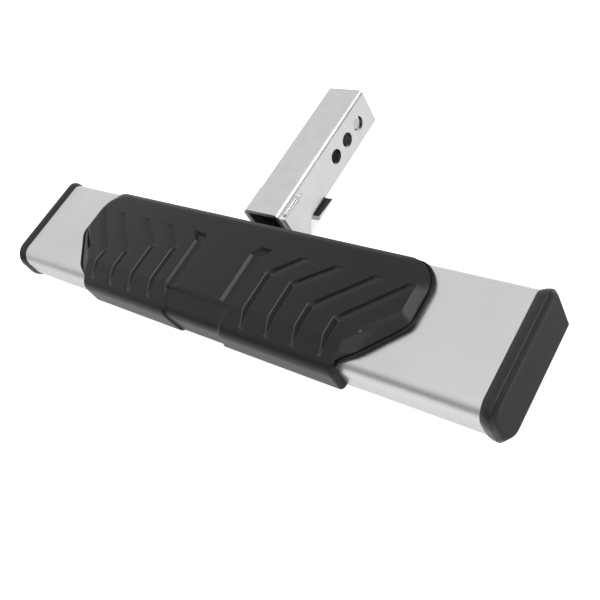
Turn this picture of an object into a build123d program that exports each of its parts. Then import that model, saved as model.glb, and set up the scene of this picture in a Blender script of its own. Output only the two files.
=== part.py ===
"""Hitch receiver step: a wide step with a moulded tread pad, carried on a square receiver shank.

Millimetres. +X runs along the step, +Y points to the vehicle and +Z is up. The origin is the centre
of the middle pin hole, on the shank's centreline. The step is symmetrical about X = 0.
"""
from build123d import *
import os
from math import hypot, radians, tan

# Receiver shank: a square tube with three pin holes across it.
shank_size = 50.8
shank_wall = 4.8
shank_corner = 6.5
shank_inner_corner = 2.0
shank_reach = 137.0        # origin to the end that faces the step
pin_diameter = 17.5
pin_pitch = 26.0
pin_to_end = 28.0          # last pin hole to the end that goes into the receiver

# Step tube: a flat oval section with a fuller front edge.
step_length = 655.0
step_depth = 127.0
step_height = 50.8
step_wall = 2.0
step_drop = 1.4            # the step's top below the shank's top
step_gap = 11.5            # shank's end to the step's rear
nose_top_radius = 17.0
nose_bottom_radius = 19.0
rear_top_radius = 10.0
rear_bottom_radius = 5.0

# End caps: a lip that swells out from the tube's end, a bevel to a flat face, and a hollow plug.
cap_lip = 3.0              # how far the lip stands out from the tube
cap_flare = 8.0
cap_land = 3.0
cap_bevel = 7.5
cap_wall = 3.0
plug_depth = 25.0
plug_clearance = 0.3
plug_wall = 2.5

# Tread pad: a sheet that follows the step, with raised tread blocks on it.
pad_sheet = 4.0
pad_tread = 8.0
pad_nose = 8.3             # thickness over the step's front
pad_flap = 35.0            # how far the flap hangs below the step's top
pad_lip = 6.0              # how far the sheet's edge laps below the step's top
pad_fold = 21.5            # where the tread starts to fall, behind the step's front
pad_fall = 23.0            # angle of the falling front of the tread
pad_nose_radius = 16.0
fold_radius = 3.0
pad_rear_lip = 2.5         # step's rear to the pad's rear edge
pad_half = 242.3
pad_shoulder = 71.5        # step's rear to the front corner of each end
pad_waist_half = 205.5     # where the front slant bends towards the flap
pad_waist = 12.5           # the same bend, behind the step's front
pad_flap_half = 187.0
pad_rear_corner = 33.5
pad_front_corner = 16.0
pad_waist_corner = 20.0
pad_flap_corner = 4.0
rim_width = 4.0
rim_groove = 2.2
rim_groove_depth = 1.8
end_bevel = 9.7
rear_bevel = 4.5
front_bevel = 7.7

# Chevrons, counted from the middle to the end: a straight V groove to the front, and a slanting
# arm to the rear that steps down along one side and ramps back up to the other.
groove_floor = 0.8
groove_draft = 23.5
groove_start = 35.0        # step's rear to the rear ends of the arms
chevron_first = 71.3
chevron_pitch = 33.6
chevron_arms = [(29.4, 26.0), (37.4, 30.5), (49.6, 46.5), (52.5, 52.0)]
arm_width = 9.5
arm_depth = 2.6
end_groove_depth = 3.0
end_groove_width = 4.4
end_groove_run = 46.0
end_groove_set = 29.2      # from the last chevron's turn out to the end groove's inner end
end_groove_lag = 0.8       # the same, towards the front
end_groove_slope = 0.874   # towards the rear, for each millimetre out

# Centre panel: flat and bare, with a channel on each side and a sunk front.
panel_half = 36.8
channel_width = 11.4
channel_depth = 3.8
channel_flare = 8.0
channel_lead = 10.0        # length of the flared rear ends
nose_sink = 0.6            # share of the channel's depth that is left at the nose
recess_step = 2.0          # fold to the step at the panel's front edge
recess_waist_half = 41.0   # the sunk front narrows over the nose
recess_waist_drop = 14.0
recess_foot_half = 30.0
recess_corner = 14.0
cut_over = 1.0             # how far a cut runs past the surface that it opens

# Studs moulded under the pad, with push nuts inside the tube.
stud_radius = 3.6
stud_clearance = 0.4
stud_length = 6.0
stud_pitch_x = 300.0
stud_pitch_y = 58.0
push_nut_radius = 9.0
push_nut_thickness = 1.0

# Bracket: two bent-arm side plates on the shank, and a plate under the step.
side_thickness = 6.4
side_top_drop = 8.4        # below the shank's top
side_setback = 2.0         # behind the shank's end
side_width = 38.0
side_knee = 20.0           # straight part of the rear edge
heel_run = 40.6            # rear edge to the heel, towards the step
leg_height = 22.8          # of the leg under the mounting plate
toe_inset = 4.0            # leg's front end behind the plate's front edge
side_edge_radius = 1.5
side_knee_radius = 10.0
side_crook_radius = 6.0
side_heel_radius = 12.0
mount_thickness = 6.4
mount_depth = 92.0
mount_corner = 8.0
mount_edge = 17.0          # bolt to the plate's side edge
weld_leg = 3.2
weld_end = 4.0

# Bolts that clamp the plate to nut bars inside the tube.
bolt_diameter = 10.0
bolt_length = 20.0
bolt_head = 16.0
bolt_head_height = 6.4
bolt_pitch = 56.0
bolt_clearance = 0.5
thread_clearance = 0.05
washer_radius = 10.5
washer_thickness = 2.0
washer_room = 1.5
nut_bar_width = 24.0
nut_bar_length = 84.0
nut_bar_thickness = 6.0

# Receiver stop: a rubber block under the shank that meets the receiver's mouth.
stop_reach = 67.0          # origin to the face that meets the receiver
stop_length = 26.5
stop_overhang = 6.9        # beyond each side of the shank
stop_taper = 2.5           # how much less of it there is at the end towards the step
stop_thickness = 9.0
stop_land = 1.5            # upright part of the sides, above their slope
screw_diameter = 6.0
screw_head_radius = 5.2
screw_head_height = 3.6
screw_sink = 4.2
screw_pitch = 30.0

# Places that follow from the sizes.
shank_half = shank_size / 2
shank_rear = pin_pitch + pin_to_end
shank_bore = shank_size - 2 * shank_wall
step_top = shank_half - step_drop
step_bottom = step_top - step_height
step_rear = -shank_reach - step_gap
step_front = step_rear - step_depth
step_end = step_length / 2

pad_top = step_top + pad_sheet + pad_tread
pad_floor = step_top + pad_sheet
pad_front = step_front - pad_nose
pad_bottom = step_top - pad_flap
fold_y = step_front + pad_fold
pad_rear = step_rear - pad_rear_lip
groove_rear = step_rear - groove_start
channel_floor = pad_top - channel_depth
channel_half = panel_half + channel_width
groove_half = groove_floor / 2 + pad_tread * tan(radians(groove_draft))
stud_y = step_rear - (step_depth - nose_top_radius + rear_top_radius) / 2

side_inner = shank_half
side_outer = shank_half + side_thickness
side_top = shank_half - side_top_drop
side_front = -shank_reach + side_setback
side_rear = side_front + side_width
mount_under = step_bottom - mount_thickness
mount_y = step_rear - step_depth / 2 + (nose_bottom_radius - rear_bottom_radius) / 2
bolt_x = side_outer + weld_leg + washer_room + washer_radius
mount_half = bolt_x + mount_edge
mount_rear = mount_y + mount_depth / 2
mount_front = mount_y - mount_depth / 2
leg_bottom = mount_under - leg_height
stop_y = -stop_reach - stop_length / 2


def step_section(inset=0.0):
    """The step's section, drawn in Y and Z, set in from its skin by inset."""
    corners = [
        (step_rear - inset, step_top - inset),
        (step_front + inset, step_top - inset),
        (step_front + inset, step_bottom + inset),
        (step_rear - inset, step_bottom + inset),
    ]
    radii = [rear_top_radius, nose_top_radius, nose_bottom_radius, rear_bottom_radius]
    with BuildSketch() as section:
        with BuildLine():
            FilletPolyline(*corners, radius=[max(r - inset, 0.5) for r in radii], close=True)
        make_face()
    return section.sketch


def pad_plan(end=0.0, rear=0.0, front=0.0):
    """The pad's outline from above, set in at its ends, rear and front; it runs on past the nose."""
    half = pad_half - end
    back = pad_rear - rear
    ahead = pad_front - pad_nose
    shoulder = step_rear - pad_shoulder
    waist = step_front + pad_waist
    run = pad_half - pad_waist_half
    fall = shoulder - waist
    shift_x = front * fall / hypot(run, fall)
    shift_y = front * run / hypot(run, fall)
    with BuildSketch() as plan:
        with BuildLine():
            FilletPolyline(
                (0, ahead),
                (pad_flap_half - shift_x, ahead),
                (pad_flap_half - shift_x, step_front + shift_y),
                (pad_waist_half - shift_x, waist + shift_y),
                (half, shoulder + shift_y + (shift_x - end) * fall / run),
                (half, back),
                (0, back),
                radius=[
                    pad_flap_corner,
                    pad_flap_corner,
                    pad_waist_corner,
                    pad_front_corner,
                    pad_rear_corner - min(end, rear),
                ],
            )
            Line((0, back), (0, ahead))
        make_face()
        mirror(about=Plane.YZ)
    return plan.sketch


def pad_section(sunk=0.0):
    """The pad's side view, drawn in Y and Z, with its skin sunk by a depth."""
    top = pad_top - sunk
    front = pad_front + sunk * nose_sink
    corner = top - (fold_y - front) * tan(radians(pad_fall))
    with BuildSketch() as section:
        with BuildLine():
            FilletPolyline(
                (pad_rear, top),
                (fold_y, top),
                (front, corner),
                (front, pad_bottom),
                radius=[fold_radius, pad_nose_radius],
            )
            Polyline((front, pad_bottom), (pad_rear, pad_bottom), (pad_rear, top))
        make_face()
    return section.sketch


def sawtooth(foot, rise):
    """A cut's section, drawn in X and Z: a wall down to its foot and a ramp that runs up to the top."""
    over = rise * cut_over / arm_depth
    with BuildSketch() as section:
        with BuildLine():
            Polyline(
                (foot, pad_top + cut_over),
                (foot, pad_top - arm_depth),
                (foot + rise + over, pad_top + cut_over),
                close=True,
            )
        make_face()
    return section.sketch


with BuildPart() as step_tube:
    with BuildSketch(Plane.YZ):
        add(step_section())
        add(step_section(step_wall), mode=Mode.SUBTRACT)
    extrude(amount=step_end, both=True)
    with BuildSketch(Plane.XY.offset(step_top)):
        with Locations((0, stud_y)):
            with GridLocations(stud_pitch_x, stud_pitch_y, 2, 2):
                Circle(stud_radius + stud_clearance)
    extrude(amount=-step_wall, mode=Mode.SUBTRACT)
    with BuildSketch(Plane.XY.offset(step_bottom)):
        with Locations((0, mount_y)):
            with GridLocations(2 * bolt_x, bolt_pitch, 2, 2):
                Circle(bolt_diameter / 2 + bolt_clearance)
    extrude(amount=step_wall, mode=Mode.SUBTRACT)

with BuildPart() as end_cap_right:
    cap_reach = cap_flare + cap_land + cap_bevel
    with BuildSketch(Plane.YZ.offset(step_end)):
        add(step_section(-cap_lip))
    extrude(amount=cap_reach)
    chamfer(faces().sort_by(Axis.X)[-1].edges(), cap_bevel)
    back = faces().sort_by(Axis.X)[0]
    chamfer(back.edges(), cap_lip, cap_flare, reference=back)
    with BuildSketch(Plane.YZ.offset(step_end)):
        add(step_section(step_wall + plug_clearance))
    extrude(amount=-plug_depth)
    with BuildSketch(Plane.YZ.offset(step_end + cap_reach - cap_wall)):
        add(step_section(step_wall + plug_clearance + plug_wall))
    extrude(amount=-plug_depth - cap_reach, mode=Mode.SUBTRACT)

with BuildPart() as end_cap_left:
    mirror(end_cap_right.part, about=Plane.YZ)

# The tread stands on the sheet: bevelled at its ends and rear, falling away towards the front.
with BuildPart() as tread:
    with BuildSketch(Plane.XY.offset(pad_floor)):
        add(pad_plan(rim_width, rim_width, rim_width))
    with BuildSketch(Plane.XY.offset(pad_top)):
        add(pad_plan(rim_width + end_bevel, rim_width + rear_bevel, rim_width + front_bevel))
    loft(ruled=True)
    with BuildSketch(Plane.YZ):
        add(pad_section())
    extrude(amount=pad_half, both=True, mode=Mode.INTERSECT)
    for number, (run, setback) in enumerate(chevron_arms):
        turn_x = chevron_first + number * chevron_pitch
        turn_y = groove_rear - setback
        with BuildSketch(Plane.XY.offset(pad_floor)):
            with Locations((turn_x, turn_y), (-turn_x, turn_y)):
                Rectangle(groove_floor, turn_y - pad_front, align=(Align.CENTER, Align.MAX))
        extrude(amount=pad_tread + cut_over, taper=-groove_draft, mode=Mode.SUBTRACT)
        arm_length = hypot(run, setback)
        for side in (1, -1):
            with BuildSketch(Plane.XZ.offset(-turn_y)):
                add(sawtooth(side * (turn_x - groove_half), side * arm_width * arm_length / setback))
            extrude(amount=arm_length, dir=(side * run, setback, 0), mode=Mode.SUBTRACT)
    # A shallow groove runs out through the bevel at each end; its wall is on the front side.
    last_x = chevron_first + (len(chevron_arms) - 1) * chevron_pitch
    end_groove_y = groove_rear - chevron_arms[-1][1] - end_groove_lag
    reach = end_groove_width * hypot(1, end_groove_slope) / end_groove_slope
    over = reach * cut_over / end_groove_depth
    for side in (1, -1):
        start = side * (last_x + end_groove_set)
        with BuildSketch(Plane.XZ.offset(-end_groove_y)):
            with BuildLine():
                Polyline(
                    (start - side * over, pad_top + cut_over),
                    (start + side * reach, pad_top - end_groove_depth),
                    (start + side * reach, pad_top + cut_over),
                    close=True,
                )
            make_face()
        extrude(
            amount=end_groove_run * hypot(1, end_groove_slope),
            dir=(side, end_groove_slope, 0),
            mode=Mode.SUBTRACT,
        )
    # A channel flanks the bare centre panel on each side, flared at its rear end.
    with BuildSketch(Plane.XY.offset(channel_floor)):
        with BuildLine():
            Polyline(
                (panel_half, fold_y - recess_step),
                (channel_half, fold_y - recess_step),
                (channel_half, groove_rear - channel_lead),
                (channel_half + channel_flare, groove_rear),
                (panel_half + channel_flare, groove_rear),
                (panel_half, groove_rear - channel_lead),
                close=True,
            )
        make_face()
        mirror(about=Plane.YZ)
    extrude(amount=channel_depth, taper=-45, mode=Mode.SUBTRACT)

# The flap carries the tread's section over the nose and down the step's front.
with BuildPart() as flap:
    with BuildSketch(Plane.YZ):
        add(pad_section())
    extrude(amount=pad_flap_half, both=True)
    with BuildSketch(Plane.XY.offset(pad_floor)):
        with Locations((0, pad_front)):
            Rectangle(2 * pad_flap_half, 2 * (pad_nose + nose_top_radius))
    extrude(amount=-pad_sheet - pad_flap, mode=Mode.INTERSECT)

# What is cut from the pad's front between the channels; seen from the front it narrows downwards.
with BuildPart() as front_recess:
    with BuildSketch(Plane.YZ):
        with Locations((fold_y - recess_step, pad_top)):
            Rectangle(2 * step_depth, 4 * step_height, align=(Align.MAX, Align.CENTER))
        add(pad_section(channel_depth), mode=Mode.SUBTRACT)
    extrude(amount=channel_half + channel_depth, both=True)
    with BuildSketch(Plane.XZ.offset(-fold_y)):
        with BuildLine():
            FilletPolyline(
                (0, pad_bottom - cut_over),
                (recess_foot_half, pad_bottom - cut_over),
                (recess_waist_half, pad_top - recess_waist_drop),
                (channel_half, channel_floor),
                (channel_half + channel_depth, pad_top),
                (0, pad_top),
                radius=[cut_over, recess_corner, cut_over, cut_over],
            )
            Line((0, pad_top), (0, pad_bottom - cut_over))
        make_face()
        mirror(about=Plane.YZ)
    extrude(amount=step_depth, mode=Mode.INTERSECT)

with BuildPart() as step_pad:
    # The sheet is the step's own section, grown by the sheet's thickness and cut to the outline.
    with BuildSketch(Plane.YZ):
        add(step_section(-pad_sheet))
    extrude(amount=pad_half, both=True)
    with BuildSketch(Plane.XY.offset(pad_floor)):
        add(pad_plan())
    extrude(amount=-pad_sheet - pad_lip, mode=Mode.INTERSECT)
    with BuildSketch(Plane.XY.offset(pad_floor)):
        groove_inset = rim_width - rim_groove
        add(pad_plan(groove_inset, groove_inset, groove_inset))
        add(pad_plan(rim_width, rim_width, rim_width), mode=Mode.SUBTRACT)
        with Locations((0, step_front + nose_top_radius / 2)):
            Rectangle(2 * pad_half, step_depth, align=(Align.CENTER, Align.MAX), mode=Mode.SUBTRACT)
    extrude(amount=-rim_groove_depth, mode=Mode.SUBTRACT)
    add(tread.part)
    add(flap.part)
    add(front_recess.part, mode=Mode.SUBTRACT)
    with BuildSketch(Plane.YZ):
        add(step_section())
    extrude(amount=pad_half + rim_width, both=True, mode=Mode.SUBTRACT)
    with BuildSketch(Plane.XY.offset(step_top)):
        with Locations((0, stud_y)):
            with GridLocations(stud_pitch_x, stud_pitch_y, 2, 2):
                Circle(stud_radius)
    extrude(amount=-step_wall - stud_length)

with BuildPart() as pad_push_nuts:
    with BuildSketch(Plane.XY.offset(step_top - step_wall)):
        with Locations((0, stud_y)):
            with GridLocations(stud_pitch_x, stud_pitch_y, 2, 2):
                RegularPolygon(push_nut_radius, 6)
                Circle(stud_radius + thread_clearance, mode=Mode.SUBTRACT)
    extrude(amount=-push_nut_thickness)

with BuildPart() as receiver_shank:
    with BuildSketch(Plane.XZ.offset(shank_reach)):
        RectangleRounded(shank_size, shank_size, shank_corner)
        RectangleRounded(shank_bore, shank_bore, shank_inner_corner, mode=Mode.SUBTRACT)
    extrude(amount=-shank_reach - shank_rear)
    with BuildSketch(Plane.YZ):
        with GridLocations(pin_pitch, pin_pitch, 3, 1):
            Circle(pin_diameter / 2)
    extrude(amount=shank_half, both=True, mode=Mode.SUBTRACT)
    with BuildSketch(Plane.XY.offset(-shank_half)):
        with Locations((0, stop_y)):
            with GridLocations(screw_pitch, screw_pitch, 2, 1):
                Circle(screw_diameter / 2 + thread_clearance)
    extrude(amount=shank_wall, mode=Mode.SUBTRACT)

with BuildPart() as side_plate_right:
    with BuildSketch(Plane.YZ.offset(side_inner)):
        with BuildLine():
            FilletPolyline(
                (side_rear, side_top),
                (side_front, side_top),
                (side_front, mount_under),
                (mount_front + toe_inset, mount_under),
                (mount_front + toe_inset, leg_bottom),
                (side_rear - heel_run, leg_bottom),
                (side_rear, side_top - side_knee),
                radius=[
                    side_edge_radius,
                    side_edge_radius,
                    side_crook_radius,
                    side_edge_radius,
                    side_crook_radius,
                    side_heel_radius,
                    side_knee_radius,
                ],
                close=True,
            )
        make_face()
    extrude(amount=side_thickness)

with BuildPart() as side_plate_left:
    mirror(side_plate_right.part, about=Plane.YZ)

with BuildPart() as mounting_plate:
    with BuildSketch(Plane.XY.offset(step_bottom)):
        with Locations((0, mount_y)):
            RectangleRounded(2 * mount_half, mount_depth, mount_corner)
            with GridLocations(2 * bolt_x, bolt_pitch, 2, 2):
                Circle(bolt_diameter / 2 + bolt_clearance, mode=Mode.SUBTRACT)
    extrude(amount=-mount_thickness)

with BuildPart() as shank_welds:
    with BuildSketch(Plane.XZ.offset(-side_rear + weld_end)):
        with BuildLine():
            Polyline(
                (side_inner, side_top),
                (side_inner + weld_leg, side_top),
                (side_inner, side_top + weld_leg),
                close=True,
            )
        make_face()
        mirror(about=Plane.YZ)
    extrude(amount=side_width - 2 * weld_end, dir=(0, -1, 0))

with BuildPart() as mount_welds:
    with BuildSketch(Plane.XZ.offset(-mount_rear + weld_end)):
        with BuildLine():
            Polyline(
                (side_outer, mount_under),
                (side_outer, mount_under - weld_leg),
                (side_outer + weld_leg, mount_under),
                close=True,
            )
        make_face()
        mirror(about=Plane.YZ)
    extrude(amount=mount_depth - toe_inset - 3 * weld_end, dir=(0, -1, 0))

with BuildPart() as nut_bar_right:
    with BuildSketch(Plane.XY.offset(step_bottom + step_wall)):
        with Locations((bolt_x, mount_y)):
            Rectangle(nut_bar_width, nut_bar_length)
            with GridLocations(bolt_pitch, bolt_pitch, 1, 2):
                Circle(bolt_diameter / 2 + thread_clearance, mode=Mode.SUBTRACT)
    extrude(amount=nut_bar_thickness)

with BuildPart() as nut_bar_left:
    mirror(nut_bar_right.part, about=Plane.YZ)

with BuildPart() as mount_washers:
    with BuildSketch(Plane.XY.offset(mount_under)):
        with Locations((0, mount_y)):
            with GridLocations(2 * bolt_x, bolt_pitch, 2, 2):
                Circle(washer_radius)
                Circle(bolt_diameter / 2 + bolt_clearance, mode=Mode.SUBTRACT)
    extrude(amount=-washer_thickness)

with BuildPart() as mount_bolts:
    with BuildSketch(Plane.XY.offset(mount_under - washer_thickness)):
        with Locations((0, mount_y)):
            with GridLocations(2 * bolt_x, bolt_pitch, 2, 2):
                RegularPolygon(bolt_head / 2, 6, major_radius=False)
    extrude(amount=-bolt_head_height)
    with BuildSketch(Plane.XY.offset(mount_under - washer_thickness)):
        with Locations((0, mount_y)):
            with GridLocations(2 * bolt_x, bolt_pitch, 2, 2):
                Circle(bolt_diameter / 2)
    extrude(amount=bolt_length)

# The stop's sides are upright at the top, then slope in, and they close in towards the step.
with BuildPart() as receiver_stop:
    wide = shank_half + stop_overhang
    slope = stop_thickness - stop_land
    with BuildSketch(Plane.XZ.offset(stop_reach)):
        with BuildLine():
            Polyline(
                (0, -shank_half),
                (wide, -shank_half),
                (wide, -shank_half - stop_land),
                (wide - slope, -shank_half - stop_thickness),
                (0, -shank_half - stop_thickness),
                close=True,
            )
        make_face()
        mirror(about=Plane.YZ)
    extrude(amount=stop_length)
    with BuildSketch(Plane.XY.offset(-shank_half)):
        with BuildLine():
            Polyline(
                (0, -stop_reach),
                (wide, -stop_reach),
                (wide - stop_taper, -stop_reach - stop_length),
                (0, -stop_reach - stop_length),
                close=True,
            )
        make_face()
        mirror(about=Plane.YZ)
    extrude(amount=-stop_thickness, mode=Mode.INTERSECT)
    with BuildSketch(Plane.XY.offset(-shank_half)):
        with Locations((0, stop_y)):
            with GridLocations(screw_pitch, screw_pitch, 2, 1):
                Circle(screw_diameter / 2 + thread_clearance)
    extrude(amount=-stop_thickness, mode=Mode.SUBTRACT)
    with BuildSketch(Plane.XY.offset(-shank_half - stop_thickness)):
        with Locations((0, stop_y)):
            with GridLocations(screw_pitch, screw_pitch, 2, 1):
                Circle(screw_head_radius + bolt_clearance)
    extrude(amount=screw_sink, mode=Mode.SUBTRACT)

with BuildPart() as stop_screws:
    with BuildSketch(Plane.XY.offset(-shank_half - stop_thickness + screw_sink)):
        with Locations((0, stop_y)):
            with GridLocations(screw_pitch, screw_pitch, 2, 1):
                RegularPolygon(screw_head_radius, 6)
    extrude(amount=-screw_head_height)
    with BuildSketch(Plane.XY.offset(-shank_half - stop_thickness + screw_sink)):
        with Locations((0, stop_y)):
            with GridLocations(screw_pitch, screw_pitch, 2, 1):
                Circle(screw_diameter / 2)
    extrude(amount=stop_thickness - screw_sink + shank_wall)

os.makedirs("parts", exist_ok=True)
pieces = {
    "step_tube": step_tube,
    "end_cap_left": end_cap_left,
    "end_cap_right": end_cap_right,
    "step_pad": step_pad,
    "pad_push_nuts": pad_push_nuts,
    "receiver_shank": receiver_shank,
    "side_plate_left": side_plate_left,
    "side_plate_right": side_plate_right,
    "mounting_plate": mounting_plate,
    "shank_welds": shank_welds,
    "mount_welds": mount_welds,
    "nut_bar_left": nut_bar_left,
    "nut_bar_right": nut_bar_right,
    "mount_washers": mount_washers,
    "mount_bolts": mount_bolts,
    "receiver_stop": receiver_stop,
    "stop_screws": stop_screws,
}
for name, piece in pieces.items():
    piece.part.label = name
    export_step(piece.part, f"parts/{name}.step")
    print(name, len(piece.part.solids()), round(piece.part.volume), piece.part.is_valid)
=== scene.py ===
# %% [markdown]
# # A hitch receiver step, dressed in Blender
# The step comes from the CAD model as a fixed frame: every piece is already at its real size and in
# its place, in metres. This lesson gives each piece the surface that the real one has, and rebuilds
# the moulded pieces as smooth surfaces, because moulded rubber and plastic have no sharp edges.

# %% Load the frame
import math

import bpy
import numpy as np
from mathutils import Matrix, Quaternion, Vector


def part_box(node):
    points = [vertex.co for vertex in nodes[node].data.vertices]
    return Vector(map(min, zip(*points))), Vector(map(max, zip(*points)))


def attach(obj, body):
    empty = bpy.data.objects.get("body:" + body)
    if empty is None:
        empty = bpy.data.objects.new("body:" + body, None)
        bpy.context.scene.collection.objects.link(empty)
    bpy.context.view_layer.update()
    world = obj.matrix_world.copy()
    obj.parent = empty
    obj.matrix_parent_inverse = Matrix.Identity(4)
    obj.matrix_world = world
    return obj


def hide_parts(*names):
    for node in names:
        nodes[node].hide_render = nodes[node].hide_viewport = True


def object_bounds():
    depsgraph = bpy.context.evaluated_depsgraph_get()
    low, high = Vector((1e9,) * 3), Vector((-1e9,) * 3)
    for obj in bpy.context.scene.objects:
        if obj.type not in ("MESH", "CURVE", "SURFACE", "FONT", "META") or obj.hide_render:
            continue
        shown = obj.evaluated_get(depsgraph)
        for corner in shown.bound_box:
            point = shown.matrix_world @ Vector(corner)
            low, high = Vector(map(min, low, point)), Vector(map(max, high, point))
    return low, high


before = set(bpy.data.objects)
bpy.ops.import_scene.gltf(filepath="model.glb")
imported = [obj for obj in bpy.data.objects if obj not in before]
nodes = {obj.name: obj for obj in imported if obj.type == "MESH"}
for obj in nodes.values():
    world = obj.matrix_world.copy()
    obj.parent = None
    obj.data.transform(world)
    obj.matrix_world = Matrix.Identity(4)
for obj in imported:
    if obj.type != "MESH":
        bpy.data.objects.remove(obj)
cad_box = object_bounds()
MM = 0.001
print("nodes:", sorted(nodes))
print("box, mm:", [[round(c / MM, 1) for c in corner] for corner in cad_box])

# %% [markdown]
# ## The camera
# The photograph was taken from the front right, well above the step, with the camera rolled, so that
# the step runs downhill to the right. Its place and lens were worked out from edges whose real
# directions are known. A rolled camera is a track rotation followed by a turn about its own axis.

# %% Camera
PHOTO_WIDTH = 600          # pixels
FOCAL_LENGTH = 769.2       # in the same pixels
EYE = Vector((569.3, -470.0, 556.5)) * MM
LOOK = Vector((-0.6127, 0.3320, -0.7172))
ROLL = math.radians(-36.6)

lens = bpy.data.cameras.new("photo_camera")
lens.sensor_width = 36.0
lens.lens = lens.sensor_width * FOCAL_LENGTH / PHOTO_WIDTH
camera = bpy.data.objects.new("photo_camera", lens)
camera.location = EYE
aim = LOOK.to_track_quat("-Z", "Y") @ Quaternion((0, 0, 1), ROLL)
camera.rotation_euler = aim.to_euler()
bpy.context.scene.collection.objects.link(camera)
bpy.context.scene.camera = camera
print("lens, mm:", round(lens.lens, 2))

# %% [markdown]
# ## Shader maths as Python
# A material is a graph of nodes. Written node by node it is hard to read, so three small classes let
# it be written as formulas: a `Field` is a number that changes over the surface, and arithmetic on
# it adds Math nodes; a `Graph` adds any other node; a `Finish` is a material with one principled
# shader, and knows the few patterns that the step's finishes are made of.

# %% Field: arithmetic on sockets
class Field:
    """An output socket. Arithmetic with numbers or other fields adds Math nodes to its tree."""

    def __init__(self, tree, socket):
        self.tree = tree
        self.socket = socket

    def _math(self, operation, first, second):
        return Graph(self.tree).node("ShaderNodeMath", {"operation": operation}, {0: first, 1: second})

    def __add__(self, other):
        return self._math("ADD", self, other)

    def __radd__(self, other):
        return self._math("ADD", other, self)

    def __sub__(self, other):
        return self._math("SUBTRACT", self, other)

    def __rsub__(self, other):
        return self._math("SUBTRACT", other, self)

    def __mul__(self, other):
        return self._math("MULTIPLY", self, other)

    def __rmul__(self, other):
        return self._math("MULTIPLY", other, self)

    def __abs__(self):
        return self._math("ABSOLUTE", self, 0.0)


print("Field:", Field.__doc__)

# %% Graph: one method for any other node
class Graph:
    """A node tree that nodes are added to."""

    def __init__(self, tree):
        self.tree = tree

    def node(self, kind, settings=None, inputs=None, output=0):
        """Adds a node, sets its properties, then its sockets from values or fields."""
        made = self.tree.nodes.new(kind)
        for name, value in (settings or {}).items():
            setattr(made, name, value)
        for name, value in (inputs or {}).items():
            self.feed(made.inputs[name], value)
        return Field(self.tree, made.outputs[output])

    def feed(self, socket, value):
        """Links a field to a socket, or sets the socket's own value."""
        if isinstance(value, Field):
            self.tree.links.new(value.socket, socket)
        else:
            socket.default_value = value

    def rays(self):
        """1 on rays from the camera, in reflections and through clear surfaces, and 0 on others."""
        kinds = ("Camera", "Glossy", "Transmission")
        return [self.node("ShaderNodeLightPath", output=f"Is {kind} Ray") for kind in kinds]


print("Graph:", Graph.__doc__)

# %% Finish: a material
class Finish(Graph):
    """A material: one principled shader, and the nodes that feed it."""

    def __init__(self, name, **constants):
        self.material = bpy.data.materials.new(name)
        self.material.use_nodes = True
        super().__init__(self.material.node_tree)
        self.shader = self.tree.nodes["Principled BSDF"]
        for socket, value in constants.items():
            self.shader.inputs[socket.replace("_", " ")].default_value = value

    def place(self, scale=(1.0, 1.0, 1.0)):
        """Object coordinates, in metres, stretched by a scale along each axis."""
        where = self.node("ShaderNodeTexCoord", output="Object")
        return self.node("ShaderNodeMapping", None, {"Vector": where, "Scale": scale})

    def noise(self, size, detail=2.0, stretch=(1.0, 1.0, 1.0), roughness=0.5):
        """Noise from 0 to 1 whose features are about size millimetres across."""
        inputs = {
            "Vector": self.place(stretch),
            "Scale": 1 / (size * MM),
            "Detail": detail,
            "Roughness": roughness,
        }
        return self.node("ShaderNodeTexNoise", None, inputs)

    def blend(self, amount, low, high):
        """The colour low where amount is 0 and high where it is 1."""
        colours = {0: amount, 6: low, 7: high}
        return self.node("ShaderNodeMix", {"data_type": "RGBA"}, colours, output=2)

    def axes(self):
        """The three object coordinates, in metres, as fields."""
        split = self.node("ShaderNodeSeparateXYZ", None, {"Vector": self.place()}).socket.node
        return [Field(self.tree, output) for output in split.outputs]

    def less(self, low, high):
        """1 where low is below high, and 0 elsewhere."""
        return self.node("ShaderNodeMath", {"operation": "LESS_THAN"}, {0: low, 1: high})

    def largest(self, first, second):
        """The larger of two fields."""
        return self.node("ShaderNodeMath", {"operation": "MAXIMUM"}, {0: first, 1: second})

    def clamp(self, value):
        """The value, kept between 0 and 1."""
        return self.node("ShaderNodeClamp", None, {"Value": value})

    def mark(self, name):
        """A number that the mesh carries on each of its points."""
        return self.node("ShaderNodeAttribute", {"attribute_name": name}, output="Fac")

    def bump(self, height, depth, strength=1.0):
        """Tilts the surface as a relief of that depth, in millimetres, would."""
        inputs = {"Height": height, "Distance": depth * MM, "Strength": strength}
        self.feed(self.shader.inputs["Normal"], self.node("ShaderNodeBump", None, inputs))

    def set(self, **fields):
        """Feeds the shader's sockets by name, and gives the finish back."""
        for name, value in fields.items():
            self.feed(self.shader.inputs[name.replace("_", " ")], value)
        return self


def grey(level):
    """A neutral colour."""
    return (level, level, level, 1.0)


print("patterns of a finish:", [name for name in vars(Finish) if not name.startswith("_")])

# %% [markdown]
# ## The metals
# The step is stainless sheet with a fine satin grain, so it has a wide, soft shine. The shank, the
# plates and the fasteners are plated with zinc, which dries in faint clouds. A picture of metal would
# stretch and repeat, so noise in the object's own coordinates is used instead: its grain has a real
# size in millimetres, and it stays put on the surface from any side. Inside the shank and on its
# saw-cut end, shade is painted into the colour as a dark grey.

# %% Satin stainless, zinc plate and fasteners
shank_low, shank_high = (np.array(corner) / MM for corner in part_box("receiver_shank"))
BORE_HALF = shank_high[0] - 4.5        # the bore, and a little of the wall's edge
OPEN_END_Y = shank_high[1] - 18.0      # light from the rear end reaches this far in
CUT_END_Y = shank_low[1] + 0.5         # the sawn face at the front


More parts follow.
